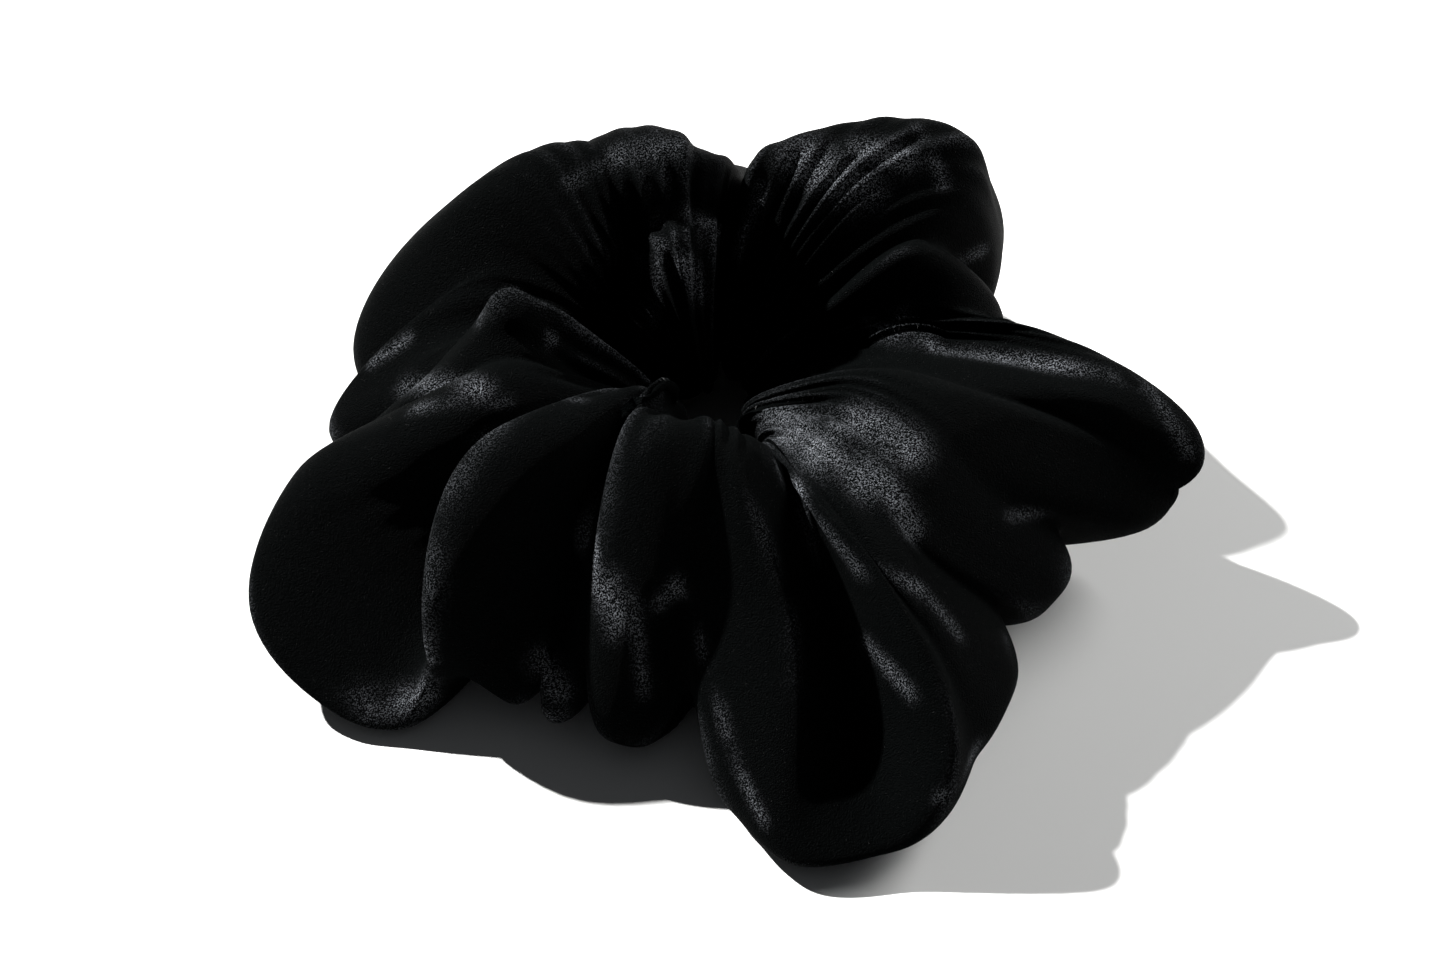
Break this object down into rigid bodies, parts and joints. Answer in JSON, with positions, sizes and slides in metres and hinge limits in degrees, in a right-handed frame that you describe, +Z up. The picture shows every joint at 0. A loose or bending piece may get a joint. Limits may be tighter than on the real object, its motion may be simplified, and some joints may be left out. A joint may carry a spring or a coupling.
{
  "type": "scrunchie",
  "caption": "Hair scrunchie: a gathered velvet tube round a loose flat elastic loop, lying flat with tall irregular folds and a small central ponytail hole.",
  "frame": {"origin": "on the axis of the ponytail hole, on the surface that the scrunchie lies on", "axes": "+Z up along the axis of the hole, +X towards the widest single fold, +Y towards the two tallest folds"},
  "size_m": [0.113, 0.1072, 0.0377],
  "materials": {
    "black_velvet": "black pile velvet, matt, with a grey glint on its ridges",
    "sewing_thread": "black spun polyester thread",
    "woven_elastic": "black woven elastic, ribbed along its length"
  },
  "bodies": {
    "cover": {"velvet_cover": "black_velvet", "lengthwise_seam_thread": "sewing_thread", "closing_stitches_thread": "sewing_thread", "end_seam_thread": "sewing_thread"},
    "elastic": {"elastic_band": "woven_elastic", "elastic_join_stitches": "sewing_thread"}
  },
  "joints": [
    {"name": "elastic_turns_in_cover", "type": "hinge", "parent": "cover", "child": "elastic", "pos_m": [0, 0, 0.0152], "axis": [0, 0, 1], "continuous": true}
  ]
}
